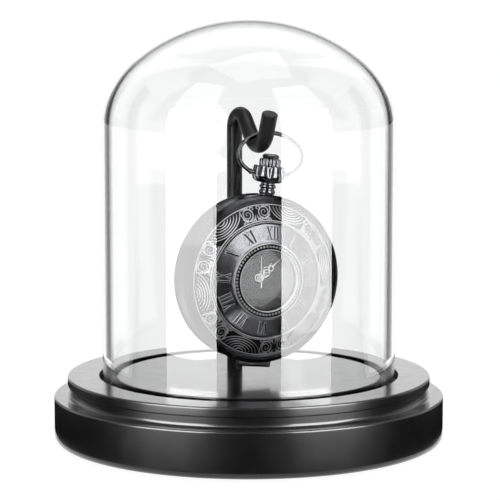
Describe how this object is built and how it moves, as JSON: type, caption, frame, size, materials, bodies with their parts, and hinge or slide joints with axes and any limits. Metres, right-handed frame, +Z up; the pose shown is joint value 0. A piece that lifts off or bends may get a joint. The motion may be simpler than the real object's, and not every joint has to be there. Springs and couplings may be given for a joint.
{
  "type": "bell jar dome",
  "caption": "Glass bell jar on a black two-tier base, with a bent hook stand and a hanging half-hunter pocket watch.",
  "frame": {"origin": "centre of the base's underside, where the felt pad rests on the surface", "axes": "+Z up along the axis of the base and the glass; -Y the way the watch faces; the rod stands towards +Y"},
  "size_m": [0.11, 0.11, 0.1199],
  "materials": {
    "lacquered_wood": "satin black lacquer",
    "groove_felt": "matte black felt",
    "base_felt": "matte black felt",
    "screw_steel": "zinc plated",
    "satin_black_steel": "satin black paint",
    "dome_glass": "clear blown glass",
    "gunmetal_wire": "black nickel plate, polished",
    "gunmetal": "black nickel plate, polished",
    "gunmetal_bright": "black nickel plate, bright",
    "watch_glass": "clear mineral glass",
    "dial_grey": "fine sunray, dark grey",
    "movement_brass": "brushed",
    "spacer_plastic": "moulded",
    "cell_steel": "brushed",
    "engraved_gunmetal": "black nickel with bright engraving",
    "numeral_ring_metal": "brushed black nickel",
    "bezel_metal": "polished",
    "hand_silver": "polished silver"
  },
  "bodies": {
    "stand": {"base_plinth": "lacquered_wood", "base_seat": "lacquered_wood", "groove_liner": "groove_felt", "felt_pad": "base_felt", "base_screws": "screw_steel", "hook_stand": "satin_black_steel", "hook_washer": "screw_steel", "hook_nut": "screw_steel"},
    "dome": {"glass_dome": "dome_glass"},
    "bow": {"bow": "gunmetal_wire"},
    "watch": {"case_middle": "gunmetal", "case_back": "gunmetal", "pendant": "gunmetal_bright", "hinge_pin": "gunmetal_wire", "dial_crystal": "watch_glass", "dial": "dial_grey", "movement": "movement_brass", "movement_spacer": "spacer_plastic", "battery": "cell_steel"},
    "cover": {"front_cover": "engraved_gunmetal", "numeral_ring": "numeral_ring_metal", "bead_bezel": "bezel_metal", "cover_crystal": "watch_glass"},
    "crown": {"crown": "gunmetal_bright", "winding_stem": "screw_steel"},
    "hour_hand": {"hour_hand": "hand_silver"},
    "minute_hand": {"minute_hand": "hand_silver"},
    "second_hand": {"second_hand": "hand_silver"}
  },
  "joints": [
    {"name": "dome_lift", "type": "slide", "parent": "stand", "child": "dome", "axis": [0, 0, 1], "range_m": [0, 0.1]},
    {"name": "watch_sway", "type": "hinge", "parent": "stand", "child": "bow", "pos_m": [0, -0.0063, 0.0839], "axis": [0, 1, 0], "range_deg": [-15, 15]},
    {"name": "watch_tilt", "type": "hinge", "parent": "bow", "child": "watch", "pos_m": [0.00333, -0.0063, 0.07607], "axis": [0.9936, 0, -0.1132], "range_deg": [-6, 8]},
    {"name": "cover_open", "type": "hinge", "parent": "watch", "child": "cover", "pos_m": [-0.00271, -0.00875, 0.02304], "axis": [0.9936, 0, -0.1132], "range_deg": [0, 32]},
    {"name": "crown_turn", "type": "hinge", "parent": "watch", "child": "crown", "pos_m": [0.00368, -0.0063, 0.07907], "axis": [0.1132, 0, 0.9936], "continuous": true},
    {"name": "minute_turn", "type": "hinge", "parent": "watch", "child": "minute_hand", "pos_m": [0, -0.0063, 0.04678], "axis": [0, 1, 0], "continuous": true},
    {"name": "hour_turn", "type": "hinge", "parent": "watch", "child": "hour_hand", "pos_m": [0, -0.0063, 0.04678], "axis": [0, 1, 0], "continuous": true},
    {"name": "second_turn", "type": "hinge", "parent": "watch", "child": "second_hand", "pos_m": [0, -0.0063, 0.04678], "axis": [0, 1, 0], "continuous": true}
  ],
  "couplings": [
    {"joint": "minute_turn", "follows": "crown_turn", "ratio": 0.33333},
    {"joint": "hour_turn", "follows": "crown_turn", "ratio": 0.027778}
  ]
}
